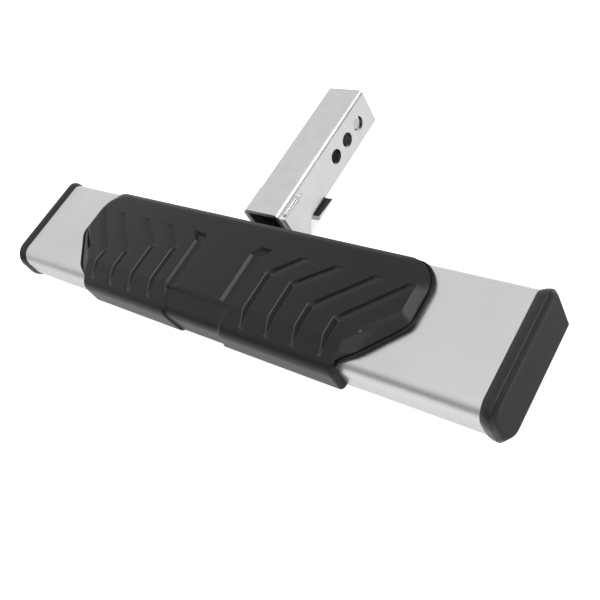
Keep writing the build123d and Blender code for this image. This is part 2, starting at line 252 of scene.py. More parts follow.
def satin_stainless():
    """Steel with a fine grain of about a millimetre and wide, faint clouds."""
    finish = Finish("satin_stainless", Metallic=1.0)
    grain = finish.noise(1.1, 3.0, roughness=0.7)
    cloud = finish.noise(70.0)
    tone = 0.75 * grain + 0.25 * cloud
    finish.bump(grain, 0.05)
    finish.set(
        Base_Color=finish.blend(tone, grey(0.43), grey(0.76)),
        Roughness=0.31 + 0.10 * grain,
    )
    return finish.material


def plating(name, cloud_size, detail, grain_size, tones):
    """Zinc over a fine grain: the finish, its clouds from 0 to 1, and its clouded colour."""
    finish = Finish(name, Metallic=1.0)
    cloud = finish.noise(cloud_size, detail)
    finish.bump(finish.noise(grain_size), 0.02)
    return finish, cloud, finish.blend(cloud, *(grey(tone) for tone in tones))


def zinc_plate():
    """The bracket's bright plating."""
    finish, cloud, colour = plating("zinc_plate", 14.0, 4.0, 0.8, (0.52, 0.64))
    return finish.set(Base_Color=colour, Roughness=0.28 + 0.14 * cloud).material


def shank_steel():
    """The same plating, with shade painted dark grey in the bore and on the cut end, and a duller bore."""
    finish, cloud, colour = plating("shank_steel", 14.0, 4.0, 0.8, (0.52, 0.64))
    x, y, z = finish.axes()
    # painted shade: a dark grey goes into the bore, up to where light from the open end reaches, and onto
    # the sawn front face
    inside = finish.less(abs(x), BORE_HALF * MM) * finish.less(abs(z), BORE_HALF * MM)
    deep = inside * finish.less(y, OPEN_END_Y * MM)
    painted_cut_end_shade = finish.less(y, CUT_END_Y * MM)
    finish.set(
        Base_Color=finish.blend(finish.largest(deep, 0.8 * painted_cut_end_shade), colour, grey(0.12)),
        Roughness=0.28 + 0.14 * cloud + 0.25 * deep,
    )
    return finish.material


def fastener_zinc():
    """Smaller clouds and a darker, sharper shine on bolts, washers and screws."""
    finish, cloud, colour = plating("fastener_zinc", 4.0, 3.0, 0.5, (0.40, 0.56))
    return finish.set(Base_Color=colour, Roughness=0.22 + 0.16 * cloud).material


stainless, zinc, shank_zinc, fastener = satin_stainless(), zinc_plate(), shank_steel(), fastener_zinc()
print("metals:", [metal.name for metal in (stainless, zinc, shank_zinc, fastener)])

# %% [markdown]
# ## Rubber and plastic
# The pad, the caps and the stop are black mouldings. What tells them from black paint is the way they
# shine: the mould's fine texture spreads each highlight, and the flat face of a cap is textured more
# than its lip. So the colour hardly changes, and the roughness and a shallow bump carry the grain.
# The stop is a steel block with a black rubber face on top, so one material switches by height. Light
# is painted into the pad's deep grooves as a paler colour, and a painted highlight runs along the
# grooves' edges; the pad's own mesh will say where, in two marks on its points.

# %% Tread rubber, cap plastic and the stop
tube_low, tube_high = (np.array(corner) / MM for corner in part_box("step_tube"))
CAP_FACE_X, CAP_FACE_FADE = tube_high[0] + 12.5, 2.5     # the face's texture fades in across the bevel
STOP_FACE_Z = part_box("receiver_stop")[1][2] / MM - 0.3   # rubber above, steel below


def tread_rubber():
    """Black rubber, with painted light in the deep grooves and a painted highlight on their edges, where
    the mesh marks them.
    """
    finish = Finish("tread_rubber", Metallic=0.0, Specular_IOR_Level=0.23)
    grain = finish.noise(0.9, 3.0)
    cloud = finish.noise(45.0)
    black = finish.blend(cloud, grey(0.008), grey(0.011))
    # painted light: the groove floors are coloured paler, in place of light that reaches into them
    black_with_painted_groove_light = finish.blend(finish.mark("painted_groove_light"), black, grey(0.030))
    finish.bump(grain, 0.04)
    finish.set(
        # painted highlight: a thin pale line along each groove's edges, as if they caught the light
        Base_Color=finish.blend(finish.mark("painted_edge_highlight"), black_with_painted_groove_light, grey(0.062)),
        Roughness=0.30 + 0.10 * grain,
    )
    return finish.material


def cap_plastic():
    """Black plastic that is smoother on the lip than on the textured end face."""
    finish = Finish("cap_plastic", Metallic=0.0, Specular_IOR_Level=0.37)
    grain = finish.noise(0.7)
    cloud = finish.noise(30.0)
    x = finish.axes()[0]
    face = finish.clamp((abs(x) - CAP_FACE_X * MM) * (1 / (CAP_FACE_FADE * MM)))
    finish.bump(grain, 0.04)
    finish.set(
        Base_Color=finish.blend(cloud, grey(0.007), grey(0.010)),
        Roughness=0.32 + 0.08 * grain + 0.35 * face,
    )
    return finish.material


def stop_block():
    """Black rubber on the top face and steel below it."""
    finish = Finish("stop_block", Specular_IOR_Level=0.25)
    grain = finish.noise(1.2, 3.0)
    z = finish.axes()[2]
    steel = finish.less(z, STOP_FACE_Z * MM)
    rubber_face = finish.blend(grain, grey(0.022), grey(0.034))
    finish.bump(grain, 0.06)
    finish.set(
        Base_Color=finish.blend(steel, rubber_face, grey(0.55)),
        Metallic=steel,
        Roughness=0.60 - 0.25 * steel + 0.10 * grain,
    )
    return finish.material


rubber, plastic, stop = tread_rubber(), cap_plastic(), stop_block()
print("mouldings:", [moulding.name for moulding in (rubber, plastic, stop)])

# %% [markdown]
# ## Dressing the CAD pieces
# Every piece of the frame gets one of these finishes in its material slot. A piece that isn't named
# here is plain plated steel, as most of the bracket is.

# %% A finish for every piece
DRESSED = {
    "step_tube": stainless,
    "step_pad": rubber,
    "end_cap_left": plastic,
    "end_cap_right": plastic,
    "receiver_stop": stop,
    "receiver_shank": shank_zinc,
    "mount_bolts": fastener,
    "mount_washers": fastener,
    # The depths become points, and the points become a closed sheet, because a moulding is solid. Two
    # numbers on each point then tell the finish where to paint light into the deep grooves and a highlight
    # along their edges. They come from the same formula as the shape, so the painted tones can't slide off
    # it.
    "stop_screws": fastener,
    "pad_push_nuts": fastener,
}
for name, node in nodes.items():
    node.data.materials.clear()
    node.data.materials.append(DRESSED.get(name, zinc))
    print(name, "-", node.data.materials[0].name)

# %% [markdown]
# ## The tread pad
# The pad is one rubber moulding: a sheet that follows the tube, with a raised tread whose chevron
# grooves let water run off. It could be modelled with booleans and a bevel, but a mould has soft
# edges of many sizes. Here it is a surface of two parameters: a row runs along the step and a column
# runs from the rear edge, over the nose, to the flap's lower edge. A formula gives how deep the rubber
# lies below the outer skin at each point, and the columns are bent to run along the grooves, so
# that each groove's edge is a clean line of the mesh.

# %% Tread pad: its box and the tube under it, in millimetres
pad_low, pad_high = (np.array(corner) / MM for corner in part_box("step_pad"))
PAD_HALF, PAD_REAR, PAD_TOP = pad_high
PAD_FRONT, PAD_BOTTOM = pad_low[1:]
TUBE_FRONT, TUBE_BOTTOM = tube_low[1:]
TUBE_REAR, TUBE_TOP = tube_high[1:]
TUBE_RADII = {"front_top": 17.0, "front_bottom": 19.0, "rear_top": 10.0, "rear_bottom": 5.0}
SHEET, LEAST_SHEET = 4.0, 0.4          # thickness under the tread, and the least anywhere
TREAD = PAD_TOP - TUBE_TOP - SHEET
FLOOR_Z = TUBE_TOP + SHEET             # floor of the deep grooves


def tube_distance(y, z):
    """Distance outside the tube's section: a box whose four corners have their own radii."""
    middle_y, half_y = (TUBE_FRONT + TUBE_REAR) / 2, (TUBE_REAR - TUBE_FRONT) / 2
    middle_z, half_z = (TUBE_BOTTOM + TUBE_TOP) / 2, (TUBE_TOP - TUBE_BOTTOM) / 2
    front = np.where(z > middle_z, TUBE_RADII["front_top"], TUBE_RADII["front_bottom"])
    rear = np.where(z > middle_z, TUBE_RADII["rear_top"], TUBE_RADII["rear_bottom"])
    radius = np.where(y < middle_y, front, rear)
    out_y = np.abs(y - middle_y) - half_y + radius
    out_z = np.abs(z - middle_z) - half_z + radius
    outside = np.hypot(np.maximum(out_y, 0), np.maximum(out_z, 0))
    return outside + np.minimum(np.maximum(out_y, out_z), 0) - radius


print("pad, mm:", pad_low.round(1), pad_high.round(1), "tread over the sheet:", TREAD.round(2))


# %% Tread pad: small formulas
def ramp(value, start, end):
    """0 up to start, 1 from end on, and a straight line between."""
    return np.clip((value - start) / (end - start), 0.0, 1.0)


def ease(value, start, end):
    """The same, with a smooth start and stop: 3t^2 - 2t^3."""
    t = ramp(value, start, end)
    return t * t * (3 - 2 * t)


def smooth_max(a, b, softness):
    """The larger of two, the crease between them rounded: max + (softness - |a - b|)^2 / (4 softness)."""
    gap = np.maximum(softness - np.abs(a - b), 0.0)
    return np.maximum(a, b) + gap**2 / (4 * softness)


def smooth_min(a, b, softness):
    """The smaller of two, rounded the same way."""
    return -smooth_max(-a, -b, softness)


def rounded_edge(inside, radius):
    """Depth of a round edge: a quarter circle, at a distance inside the edge."""
    reach = np.clip(radius - inside, 0.0, radius)
    return radius - np.sqrt(radius**2 - reach**2)


def rounded_corner(a, b, radius):
    """Distance inside two edges at right angles whose corner is an arc of that radius."""
    arc = radius - np.hypot(np.maximum(radius - a, 0), np.maximum(radius - b, 0))
    return np.where(np.minimum(a, b) < radius, np.minimum(arc, np.minimum(a, b)), np.minimum(a, b))


def line_distance(x, y, start, end):
    """Distance to the left of a line through two points."""
    run, rise = end[0] - start[0], end[1] - start[1]
    return ((y - start[1]) * run - (x - start[0]) * rise) / math.hypot(run, rise)


print("half way up a ramp and an ease:", ramp(0.5, 0, 1), ease(0.5, 0, 1))

# %% [markdown]
# ### The pad's outline
# Seen from above, the pad is a long plate with round corners at the rear and a slant at each end of
# its front, and a bevel repeats that outline farther in. One formula serves both: it gives the distance
# inside the outline, set in by the rim and by any share of the bevel.

# %% Tread pad: outline
SHOULDER_Y = TUBE_REAR - 71.5          # front corner of each end
WAIST_HALF, WAIST_Y = 205.5, TUBE_FRONT + 12.5
WAIST_SOFT, WAIST_SOFTER = 1, 10       # rounding of the waist: at the outline, and more up the bevel
FLAP_HALF = 187.0
REAR_CORNER, FRONT_CORNER = 33.5, 4.2
RIM, REAR_RIM = 4.0, 0.75              # the rim's width, and the share of it at the rear edge
END_BEVEL, REAR_BEVEL, FRONT_BEVEL = 9.7, 5.8, 10.5


def outline_distance(x, y, rim=0.0, bevel=0.0):
    """Distance inside the outline, set in by a rim and a share of the bevel.

    It is the least of the distances to the end and the rear, with an arc between them, and to the
    front's slants, which meet at the waist.
    """
    x = np.abs(x)
    end = PAD_HALF - x - rim - END_BEVEL * bevel
    rear = PAD_REAR - y - REAR_RIM * rim - REAR_BEVEL * bevel
    shoulder, waist, flap = (PAD_HALF, SHOULDER_Y), (WAIST_HALF, WAIST_Y), (FLAP_HALF, TUBE_FRONT)
    above_waist, below_waist = line_distance(x, y, waist, shoulder), line_distance(x, y, flap, waist)
    slant = smooth_min(above_waist, below_waist, WAIST_SOFT + WAIST_SOFTER * bevel)
    front = smooth_max(slant, FLAP_HALF - x, FRONT_CORNER) - rim - FRONT_BEVEL * bevel
    return smooth_min(rounded_corner(rear, end, REAR_CORNER - rim), front, FRONT_CORNER)


print("mm inside the outline, 10 mm from its rear edge:", outline_distance(0.0, PAD_REAR - 10.0).round(2))

# %% [markdown]
# ### The pad's skin
# Seen from the end, the outer skin is a flat top, an arc at the fold, a slope, an arc at the nose and a
# straight flap. Each row of the mesh has a place on that curve, and a way inwards to the tube. The rows
# lie close together where the shape turns and far apart where it is plain.

# %% Tread pad: the skin's section
FOLD_Y = TUBE_FRONT + 21.5             # where the tread starts to fall
FALL = math.radians(23.0)
FOLD_RADIUS, NOSE_RADIUS, FOOT_RADIUS = 7.0, 16.0, 4.0
GROOVE_REAR_Y = TUBE_REAR - 35.0       # the grooves' rear ends
REAR_ROWS, TOP_ROWS, FOLD_ROWS, SLOPE_ROWS, NOSE_ROWS, FLAP_ROWS = 10, 80, 8, 24, 18, 10
RIM_STATIONS = np.array([0, 0.3, 0.6, 1.0, 1.5, 1.8, 2.1, 2.5, 3.2, 3.7, 4.0, 4.3])
BEVEL_STATIONS = np.array([0.1, 0.2, 0.35, 0.5, 0.65, 0.8, 0.9, 0.96, 1.02, 1.1, 1.25])
REAR_SPREAD = 4.5                      # the bevel's rows are spread over this width at the rear
REAR_STATIONS = np.concatenate([RIM_STATIONS, RIM + REAR_SPREAD * BEVEL_STATIONS])
GROOVE_END_STATIONS = np.array([-1.6, -0.9, -0.4, 0.0, 0.3, 0.6, 0.9, 1.3, 2.0])
FOOT_STATIONS = np.array([0.8, 0.62, 0.46, 0.32, 0.2, 0.1, 0.03, 0.0])


def skin_rows():
    """Y, Z and lean of each row: a flat top, an arc at the fold, a slope, an arc at the nose, a flap.

    A row with lean a faces (0, -sin a, cos a), and an arc's points are centre + radius (-sin a, cos a).
    """
    fold_reach = FOLD_RADIUS * math.tan(FALL / 2)
    behind_grooves = PAD_REAR - REAR_STATIONS[-1]
    groove_ends = GROOVE_REAR_Y - GROOVE_END_STATIONS
    top = np.concatenate([
        PAD_REAR - REAR_STATIONS,
        np.linspace(behind_grooves, groove_ends[0], REAR_ROWS)[1:-1],
        groove_ends,
        np.linspace(groove_ends[-1], FOLD_Y + fold_reach, TOP_ROWS)[1:-1],
    ])
    fold = np.linspace(0, FALL, FOLD_ROWS)
    corner_z = PAD_TOP - (FOLD_Y - PAD_FRONT) * math.tan(FALL)
    nose_reach = NOSE_RADIUS * math.tan((math.pi / 2 - FALL) / 2)
    nose = np.linspace(FALL, math.pi / 2, NOSE_ROWS)
    slope_start = FOLD_Y - fold_reach * math.cos(FALL)
    slope_end = PAD_FRONT + nose_reach * math.cos(FALL)
    slope = np.linspace(slope_start, slope_end, SLOPE_ROWS)[1:-1]
    flap = np.concatenate([
        np.linspace(corner_z - nose_reach, PAD_BOTTOM + FOOT_RADIUS, FLAP_ROWS)[1:],
        PAD_BOTTOM + FOOT_RADIUS * FOOT_STATIONS,
    ])
    fold_y = FOLD_Y + fold_reach - FOLD_RADIUS * np.sin(fold)
    fold_z = PAD_TOP - FOLD_RADIUS + FOLD_RADIUS * np.cos(fold)
    nose_y = PAD_FRONT + NOSE_RADIUS - NOSE_RADIUS * np.sin(nose)
    nose_z = corner_z - nose_reach + NOSE_RADIUS * np.cos(nose)
    y = np.concatenate([top, fold_y, slope, nose_y, np.full(len(flap), PAD_FRONT)])
    slope_z = PAD_TOP - (FOLD_Y - slope) * math.tan(FALL)
    z = np.concatenate([np.full(len(top), PAD_TOP), fold_z, slope_z, nose_z, flap])
    lean = np.concatenate([
        np.zeros(len(top)), fold, np.full(len(slope), FALL), nose, np.full(len(flap), math.pi / 2),
    ])
    return y, z, lean


row_y, row_z, row_lean = skin_rows()
print("pad rows:", len(row_y))

# %% Tread pad: from the skin to the tube
STEPS_TO_TUBE = 60


def depth_to_tube(y, z, aim, thickness):
    """How far inwards from the skin the tube, grown by a thickness, lies: steps of the distance left.

    Inwards is straight down on the top and towards the middle of the tube's rounding at the nose, so
    that the rows fan out and never cross. A row with aim a goes inwards along (0, sin a, -cos a).
    """
    depth = np.zeros_like(y)
    for _ in range(STEPS_TO_TUBE):
        depth += tube_distance(y + depth * np.sin(aim), z - depth * np.cos(aim)) - thickness
    return depth


nose_y, nose_z = TUBE_FRONT + TUBE_RADII["front_top"], TUBE_TOP - TUBE_RADII["front_top"]
row_aim = np.arctan2(np.maximum(nose_y - row_y, 0), np.maximum(row_z - nose_z, 0))
sheet_depth = depth_to_tube(row_y, row_z, row_aim, SHEET)
tube_depth = depth_to_tube(row_y, row_z, row_aim, 0.0)
rim_y = row_y + sheet_depth * np.sin(row_aim)
row_steps = np.hypot(np.diff(row_y, prepend=row_y[0]), np.diff(row_z, prepend=row_z[0]))
past_fold = np.cumsum(row_steps * (row_y < FOLD_Y))
NOSE_START = past_fold[row_lean < FALL + 1e-6].max()
print("fold to lower edge, mm:", past_fold[-1].round(1), "thickest, mm:", tube_depth.max().round(1))

# %% [markdown]
# ### The pad's columns
# Straight columns would cross the slanting grooves and leave a saw-tooth along their edges. So each
# groove brings guide lines of its own, close together at its edges, and plain steps fill the space
# between them. Lines that would leave the pad are pressed together inside its rim.

# %% Tread pad: guide lines of the panel and the channels beside it
PANEL_HALF, CHANNEL_HALF = 36.8, 48.2
CHANNEL_FLARE, CHANNEL_LEAD = 8.0, 10.0
RECESS_WAIST_HALF, RECESS_FOOT_HALF, RECESS_CURVE = 42.0, 30.0, 1.6
MIDDLE_STATIONS = np.array([0.0, 8.0, 16.0, 22.0])
PANEL_STATIONS = np.array([-5.2, -4.4, -3.8, -3.2, -1.9, -0.5, 0.1, 0.7])
CHANNEL_STATIONS = -PANEL_STATIONS[::-1]


def channel_flare(y):
    """How far the channels beside the panel turn out at their rear ends."""
    return CHANNEL_FLARE * ramp(y, GROOVE_REAR_Y - CHANNEL_LEAD, GROOVE_REAR_Y)


def recess_half():
    """Half width of the sunk front in each row: it narrows down the slope, and more down the flap."""
    on_slope = RECESS_WAIST_HALF + (CHANNEL_HALF - RECESS_WAIST_HALF) * (1 - past_fold / NOSE_START)
    down = ramp(past_fold, NOSE_START, past_fold[-1])
    on_flap = RECESS_WAIST_HALF + (RECESS_FOOT_HALF - RECESS_WAIST_HALF) * down**RECESS_CURVE
    return np.where(past_fold < NOSE_START, on_slope, on_flap)


def panel_lines(y):
    """Columns of the centre panel and of the channel beside it, which narrows down the front."""
    narrowing = CHANNEL_HALF - recess_half()
    flare = channel_flare(y)
    middle = np.outer(MIDDLE_STATIONS, np.ones(len(y)))
    panel_edge = PANEL_HALF + flare - narrowing / 2 + PANEL_STATIONS[:, None]
    channel_edge = CHANNEL_HALF + flare - narrowing + CHANNEL_STATIONS[:, None]
    return [*middle, *panel_edge, *channel_edge]


print("lines of the panel and a channel:", len(panel_lines(row_y)))

# %% Tread pad: guide lines of the chevrons
TURN_X = 71.3 + 33.6 * np.arange(4)                 # four chevrons on each side of the panel
ARM_RUN = np.array([29.4, 37.4, 49.6, 52.5])        # how far each slanting arm reaches outwards
ARM_SETBACK = np.array([26.0, 30.5, 46.5, 52.0])    # and from its turn to the grooves' rear ends
TURN_Y = GROOVE_REAR_Y - ARM_SETBACK
GROOVE_HALF, GROOVE_FLOOR_HALF = 3.9, 0.4
BEND_START, BEND_END = 0.3, 4.8                     # the columns bend over this stretch behind a turn
BETWEEN_SHARES = (0.2, 0.5, 0.8)                    # lines between one groove and the next
FRONT_STATIONS = np.array([-6.2, -5.2, -4.5, -3.9, -3.2, -1.8, -0.4, 0.4, 1.8, 3.2, 3.9, 4.5, 5.2, 6.2])
ARM_STATIONS = np.array([-2.0, -1.1, -0.6, -0.2, 0.2, 0.6, 1.0, 1.5, 3.0, 5.5, 8.5, 11.5, 13.2, 15.0])


def groove_lines(y, previous):
    """Columns of the chevrons: across each straight arm, and past its turn along the slanting arm."""
    half = GROOVE_FLOOR_HALF + (GROOVE_HALF - GROOVE_FLOOR_HALF) * ramp(row_z, FLOOR_Z, PAD_TOP)
    straight = np.outer(FRONT_STATIONS, half / GROOVE_HALF) + GROOVE_HALF
    lines = []
    for turn_x, turn_y, run, setback in zip(TURN_X, TURN_Y, ARM_RUN, ARM_SETBACK):
        bend = ease(y, turn_y + BEND_START, turn_y + BEND_END)
        wall = turn_x - GROOVE_HALF + np.maximum(y - turn_y, 0) * run / setback
        across = wall + straight * (1 - bend) + np.outer(ARM_STATIONS, bend)
        between = [previous + (across[0] - previous) * share for share in BETWEEN_SHARES]
        lines += [*between, *across]
        previous = across[-1]
    return lines


print("lines of four chevrons:", len(groove_lines(row_y, panel_lines(row_y)[-1])))

# %% Tread pad: guide lines of the short groove at each end
LEDGE_X, LEDGE_Y, LEDGE_SLOPE = TURN_X[-1] + 29.2, TURN_Y[-1] - 0.8, 0.874
LEDGE_LENGTHENED = math.hypot(1, LEDGE_SLOPE) / LEDGE_SLOPE     # along x, over straight across it
LEDGE_LEAD, LEDGE_ROOM = 8.0, 2.0      # its lines slant on this far in front; even steps end this far off
LEDGE_STATIONS = np.array([-1.2, -0.5, 0.0, 0.5, 1.4, 2.4, 3.4, 4.0, 4.4, 4.8, 5.4, 5.8, 6.3])
EVEN_STEPS = np.linspace(0, 1, 18)[1:-1, None]


def ledge_lines(previous, margin):
    """Columns along the short groove, with even steps before it and after it, up to a margin."""
    ledge = LEDGE_X + np.maximum(row_y - LEDGE_Y, -LEDGE_LEAD) / LEDGE_SLOPE
    last = np.minimum(previous, margin - LEDGE_ROOM)
    before = last + (np.clip(ledge - LEDGE_ROOM * LEDGE_LENGTHENED, last, margin) - last) * EVEN_STEPS
    along = ledge + LEDGE_LENGTHENED * LEDGE_STATIONS[:, None]
    last = np.minimum(along[-1], margin)
    after = last + (margin - last) * EVEN_STEPS
    return [*before, *along, *after]


print("lines of a short groove:", len(LEDGE_STATIONS), "with even steps:", 2 * len(EVEN_STEPS))

# %% Tread pad: columns inside the outline
LEAST_STEP = 0.06                      # guide lines that are pressed together stay this far apart
LEAST_REACH = 150.0                    # the outline is wider than this in every row
HALVINGS = 40
SHOULDER_LOSS, SHOULDER_LEAD = 0.55, 14.0           # the bevel's columns draw in behind the shoulder
WAIST_LOSS, WAIST_LEAD, WAIST_END = 0.2, 7.0, 5.0   # and again round the waist
PROBE, LEAST_SLOPE = 0.5, 0.6          # the slant is measured over this width, and taken as no less


def outline_reach():
    """Half width of the outline in each row, by halving the stretch where its distance is zero."""
    low, high = np.full(len(rim_y), LEAST_REACH), np.full(len(rim_y), PAD_HALF + 1)
    for _ in range(HALVINGS):
        middle = (low + high) / 2
        inside = outline_distance(middle, rim_y) > -1e-6
        low, high = np.where(inside, middle, low), np.where(inside, high, middle)
    return low


def edge_widths(reach):
    """How far in from the outline the columns of the rim and the bevel lie: wider where it slants.

    Past the waist, where the bevel's columns are closest, the first of them lies up to 0.1 mm outside
    the rim's last one.
    """
    slope = (outline_distance(reach - PROBE, rim_y) - outline_distance(reach, rim_y)) / PROBE
    at_shoulder = SHOULDER_LOSS * ease(-rim_y, -SHOULDER_Y - SHOULDER_LEAD, -SHOULDER_Y)
    at_waist = WAIST_LOSS * ease(-rim_y, -WAIST_Y - WAIST_LEAD, -WAIST_Y + WAIST_END)
    rim = np.outer(RIM_STATIONS, np.ones(len(rim_y)))
    bevel = np.outer(BEVEL_STATIONS, 1 - at_shoulder - at_waist) * END_BEVEL + RIM
    return np.concatenate([rim, bevel]) * (1 / np.clip(slope, LEAST_SLOPE, 1.0))


def columns():
    """X of every point, a row to each row of the pad: guide lines up to a margin, then the edge's own.

    Where lines are pressed together, the last of them lies on the margin, with the edge's first.
    """
    reach = outline_reach()
    widths = edge_widths(reach)
    margin = reach - widths[-1]
    y = np.minimum(row_y, GROOVE_REAR_Y)
    lines = panel_lines(y)
    lines += groove_lines(y, lines[-1])
    lines += ledge_lines(lines[-1], margin)
    limit = margin - LEAST_STEP * np.arange(len(lines))[::-1, None]
    half = np.concatenate([np.minimum(lines, limit), reach - widths[::-1]]).T
    return np.concatenate([-half[:, :0:-1], half], axis=1)


column_x = columns()
print("pad grid:", column_x.shape, "least step across, mm:", np.diff(column_x, axis=1).min().round(3))

# %% [markdown]
# ### The pad's depth
# Each feature of the tread is a formula for a depth below the skin, which falls below zero outside the
# feature. The pad takes the deepest of them at each point, so features cross as cuts in one block of
# rubber do, and a rounded maximum with zero softens the edge where a feature meets the tread.

# %% Tread pad: depth of the chevrons
ARM_WIDTH, ARM_DEPTH, ARM_SHALLOWER = 9.5, 2.1, 0.2     # a step down and a ramp up, less deep outwards
STEEP, ARM_END, ARM_START = 0.9, 1.6, 5.0               # how far the arms' walls and their ends lean
TURN_RISE, TURN_SKEW, TURN_LEAD = 2.5, 0.5, 2.2         # the face that ends a straight arm at its turn
STRAIGHT_SOFT, ARM_SOFT = 1.4, 0.6
FAR_OUTSIDE = -9.0
STEEPEST_AIM = 1.2                     # radians: heights are turned into depths up to this aim


def straight_arms(x, y, z, upright):
    """Depth of the straight arms, below 0 outside them: a V section, and a rise at the turn."""
    deepest = np.full_like(x, FAR_OUTSIDE)
    draft = TREAD / (GROOVE_HALF - GROOVE_FLOOR_HALF)
    for turn_x, turn_y in zip(TURN_X, TURN_Y):
        wall_z = FLOOR_Z + draft * np.maximum(np.abs(x - turn_x) - GROOVE_FLOOR_HALF, 0)
        from_x, from_y = x - (turn_x - GROOVE_HALF), y - turn_y
        rising_end = FLOOR_Z + TURN_RISE * (from_y + TURN_SKEW * from_x + TURN_LEAD)
        deepest = np.maximum(deepest, (z - np.maximum(wall_z, rising_end)) / upright)
    return deepest


def chevron_depth(x, y, z, upright):
    """Depth of the grooves: the straight arms, and slanting arms that step down and ramp up."""
    slanting_arms = np.full_like(x, FAR_OUTSIDE)
    for turn_x, turn_y, run, setback in zip(TURN_X, TURN_Y, ARM_RUN, ARM_SETBACK):
        length = math.hypot(run, setback)
        from_x, from_y = x - (turn_x - GROOVE_HALF), y - turn_y
        beside = (from_x * setback - from_y * run) / length
        along = (from_x * run + from_y * setback) / length
        deep = ARM_DEPTH - ARM_SHALLOWER * ramp(along, 0.0, length)
        arm = deep * (1 - (beside - STEEP) / (ARM_WIDTH - STEEP))
        arm = np.minimum(arm, deep * beside / STEEP)
        arm = np.minimum(arm, deep * (GROOVE_REAR_Y - y) / ARM_END)
        arm = np.minimum(arm, deep * along / ARM_START)
        slanting_arms = np.maximum(slanting_arms, arm)
    straight = straight_arms(x, y, z, upright)
    return np.maximum(smooth_max(straight, 0.0, STRAIGHT_SOFT), smooth_max(slanting_arms, 0.0, ARM_SOFT))


grid_x = np.abs(column_x)
grid_y, grid_z, grid_aim = (np.broadcast_to(row[:, None], grid_x.shape) for row in (row_y, row_z, row_aim))
grid_upright = np.cos(np.minimum(grid_aim, STEEPEST_AIM))
chevrons = chevron_depth(grid_x, grid_y, grid_z, grid_upright)
print("deepest chevron, mm:", chevrons.max().round(2))

# %% Tread pad: depth of the channels and the sunk front
CHANNEL_DEPTH, CHANNEL_END, CHANNEL_SOFT = 3.8, 3.0, 0.4    # floor, lean of the rear end, rounding
RECESS_NOSE_DEPTH, RECESS_SOFT = 2.3, 0.6
RECESS_LEAD, RECESS_STEP = 1.5, 1.2                         # the step starts past the fold, and its lean
SUNK_SOFT = 0.5


def channel_depth(x, y):
    """Depth of the wide channels beside the centre panel: a flat floor between walls at 45 degrees."""
    middle, half = (PANEL_HALF + CHANNEL_HALF) / 2 + channel_flare(y), (CHANNEL_HALF - PANEL_HALF) / 2
    wall = CHANNEL_DEPTH + half - np.abs(x - middle)
    depth = smooth_min(wall, CHANNEL_DEPTH, CHANNEL_SOFT)
    return np.minimum(depth, (GROOVE_REAR_Y - y) * CHANNEL_DEPTH / CHANNEL_END)


def recess_depth(x, y, half, past):
    """Depth of the sunk front: it starts with a step at the fold and narrows down the flap."""
    floor = CHANNEL_DEPTH + (RECESS_NOSE_DEPTH - CHANNEL_DEPTH) * ease(past, 0.0, NOSE_START)
    step = (FOLD_Y - RECESS_LEAD - y) * CHANNEL_DEPTH / RECESS_STEP
    return np.minimum(smooth_min(floor, floor + half - x, RECESS_SOFT), step)


on_front = grid_y < FOLD_Y - RECESS_LEAD
front = recess_depth(grid_x, grid_y, recess_half()[:, None], past_fold[:, None])
sunk = smooth_max(np.where(on_front, front, channel_depth(grid_x, grid_y)), 0.0, SUNK_SOFT)
print("deepest channel and sunk front, mm:", sunk[~on_front].max().round(2), sunk[on_front].max().round(2))

# %% Tread pad: depth of the short groove at each end
LEDGE_WIDTH, LEDGE_WALL, LEDGE_DEPTH = 4.4, 1.4, 3.2
FACET_SLOPE, FACET_LEAD = 0.8, 1.5     # the facet that closes its inner end


def ledge_depth(x, y):
    """Depth of the short groove: a ramp that falls to a wall, open through the bevel."""
    length = math.hypot(1, LEDGE_SLOPE)
    from_x, from_y = x - LEDGE_X, y - LEDGE_Y
    beside = (from_x * LEDGE_SLOPE - from_y) / length
    floor = LEDGE_DEPTH * beside / LEDGE_WIDTH
    wall = LEDGE_DEPTH * (LEDGE_WIDTH + LEDGE_WALL - beside) / LEDGE_WALL
    end_facet = FACET_SLOPE * (from_x + FACET_LEAD)
    return np.minimum(np.minimum(floor, wall), end_facet)


ledges = np.where(grid_y > FOLD_Y, ledge_depth(grid_x, grid_y), 0.0)
print("deepest short groove, mm:", ledges.max().round(2))

# %% Tread pad: depth at the outline
RIM_ROUND, RIM_GROOVE, RIM_GROOVE_DEPTH = 1.0, 2.2, 1.8
GROOVE_WALL = (-0.1, 0.5)              # the rim groove's walls lean over this stretch
REAR_TURN = (-10.0, 25.0)              # the bevel changes from the end's shape to the rear's over this
REAR_STEP, REAR_STEP_END = 0.66, 0.1   # at the rear, most of the rise comes in the bevel's first tenth
BEVEL_SOFT = 0.9
JOIN_START, JOIN_REAR, JOIN_WIDTH = 0.3, 0.9, 0.6   # where the rim meets the bevel, and nearer at the rear
FLAP_ROUND, FLAP_BAND, SLACK = 3.0, 6, 0.01         # the flap's ends: rounding, height over the floor
LEAST_SHARE, MOST_SHARE, SHARE_HALVINGS = -0.4, 1.6, 20


def bevel_share(x, y):
    """How far up the bevel each point is: halving finds the set-in outline that runs through it."""
    low, high = np.full(x.shape, LEAST_SHARE), np.full(x.shape, MOST_SHARE)
    for _ in range(SHARE_HALVINGS):
        middle = (low + high) / 2
        inside = outline_distance(x, y, RIM, middle) > 0
        low, high = np.where(inside, middle, low), np.where(inside, high, middle)
    return low


